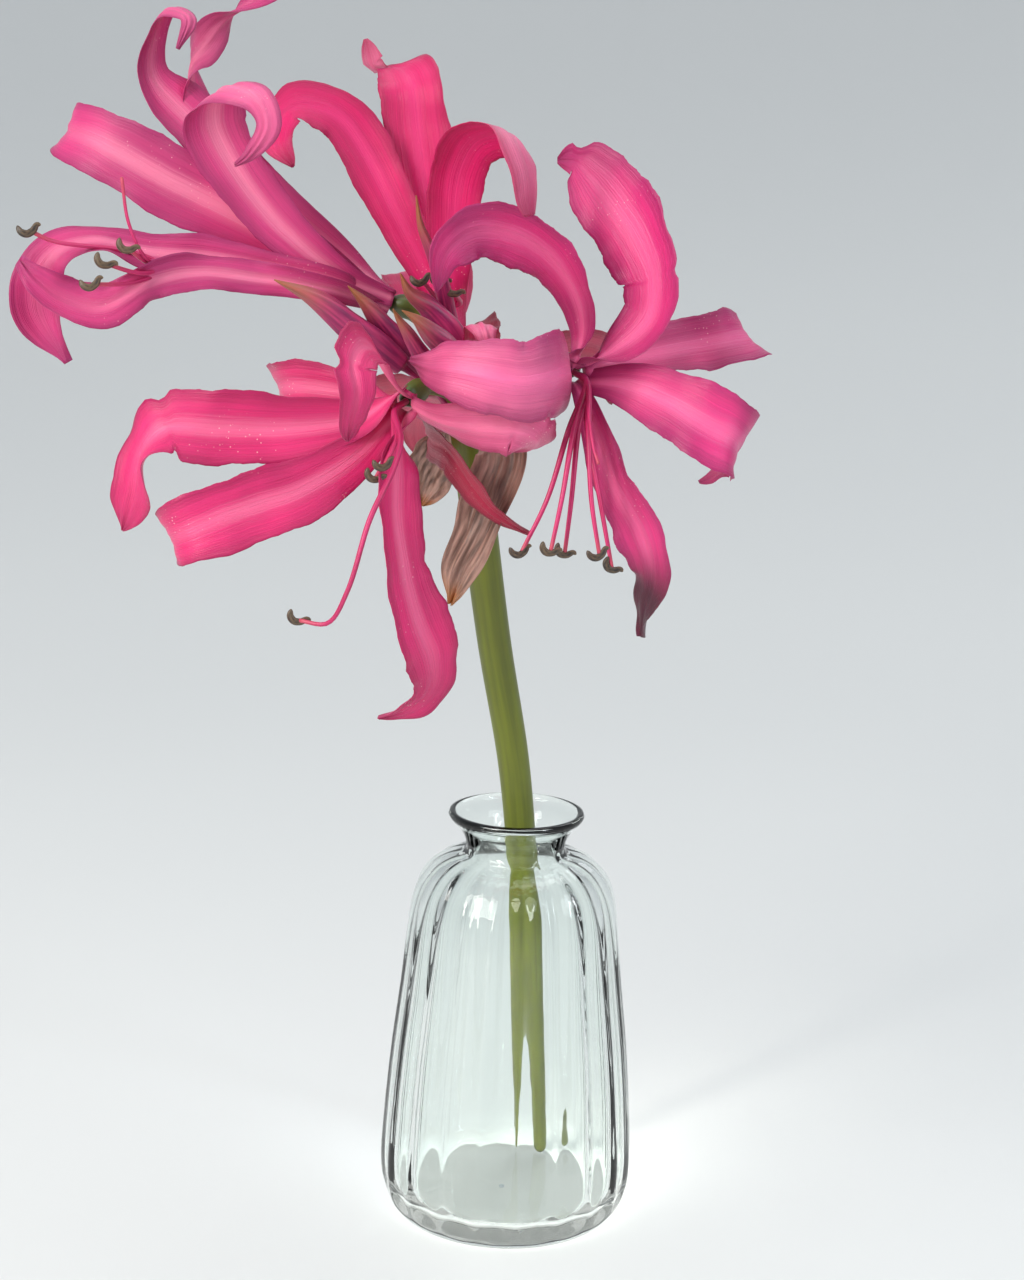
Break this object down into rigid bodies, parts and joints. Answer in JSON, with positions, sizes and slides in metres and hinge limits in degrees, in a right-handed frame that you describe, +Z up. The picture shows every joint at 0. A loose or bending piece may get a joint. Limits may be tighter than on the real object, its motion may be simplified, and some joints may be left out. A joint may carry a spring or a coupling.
{
  "type": "nerine in vase",
  "caption": "Cut nerine umbel with open reflexed flowers, buds and papery bracts on a leaning stalk, standing in a small clear fluted glass bottle.",
  "frame": {"origin": "middle of the bottle's flat underside, on the bottle's axis", "axes": "+Z up along the bottle's axis; -Y is the side the picture was taken from; +X is to that view's right"},
  "size_m": [0.1608, 0.1252, 0.2873],
  "materials": {
    "glass": "gloss",
    "stem": "satin",
    "tepal_dusky": "satin",
    "tepal_crimson": "satin",
    "tepal_magenta": "satin",
    "tepal_rose": "satin",
    "tepal_deep": "satin",
    "bud": "satin",
    "spathe": "matte",
    "stamen": "satin"
  },
  "bodies": {
    "root": {"glass_bottle": "glass", "scape": "stem", "pedicel_a": "stem", "pedicel_b": "stem", "pedicel_c": "stem", "pedicel_d": "stem", "pedicel_e": "stem", "stamens_a": "stamen", "stamens_b": "stamen", "stamens_c": "stamen", "stamens_d": "stamen", "stamens_e": "stamen", "tepal_a1": "tepal_dusky", "tepal_a2": "tepal_dusky", "tepal_a3": "tepal_dusky", "tepal_a4": "tepal_dusky", "tepal_a5": "tepal_dusky", "tepal_a6": "tepal_dusky", "tepal_b1": "tepal_crimson", "tepal_b2": "tepal_crimson", "tepal_b3": "tepal_crimson", "tepal_b4": "tepal_crimson", "tepal_b5": "tepal_crimson", "tepal_b6": "tepal_crimson", "tepal_c1": "tepal_magenta", "tepal_c2": "tepal_magenta", "tepal_c3": "tepal_magenta", "tepal_c4": "tepal_magenta", "tepal_c5": "tepal_magenta", "tepal_c6": "tepal_magenta", "tepal_d1": "tepal_rose", "tepal_d2": "tepal_rose", "tepal_d3": "tepal_rose", "tepal_d4": "tepal_rose", "tepal_d5": "tepal_rose", "tepal_d6": "tepal_rose", "tepal_e1": "tepal_deep", "tepal_e2": "tepal_deep", "tepal_e3": "tepal_deep", "tepal_e4": "tepal_deep", "tepal_e5": "tepal_deep", "tepal_e6": "tepal_deep", "bud_1": "bud", "bud_2": "bud", "bud_3": "bud", "bud_4": "bud", "bud_5": "bud", "bud_6": "bud", "spathe_1": "spathe", "spathe_2": "spathe"}
  },
  "joints": []
}
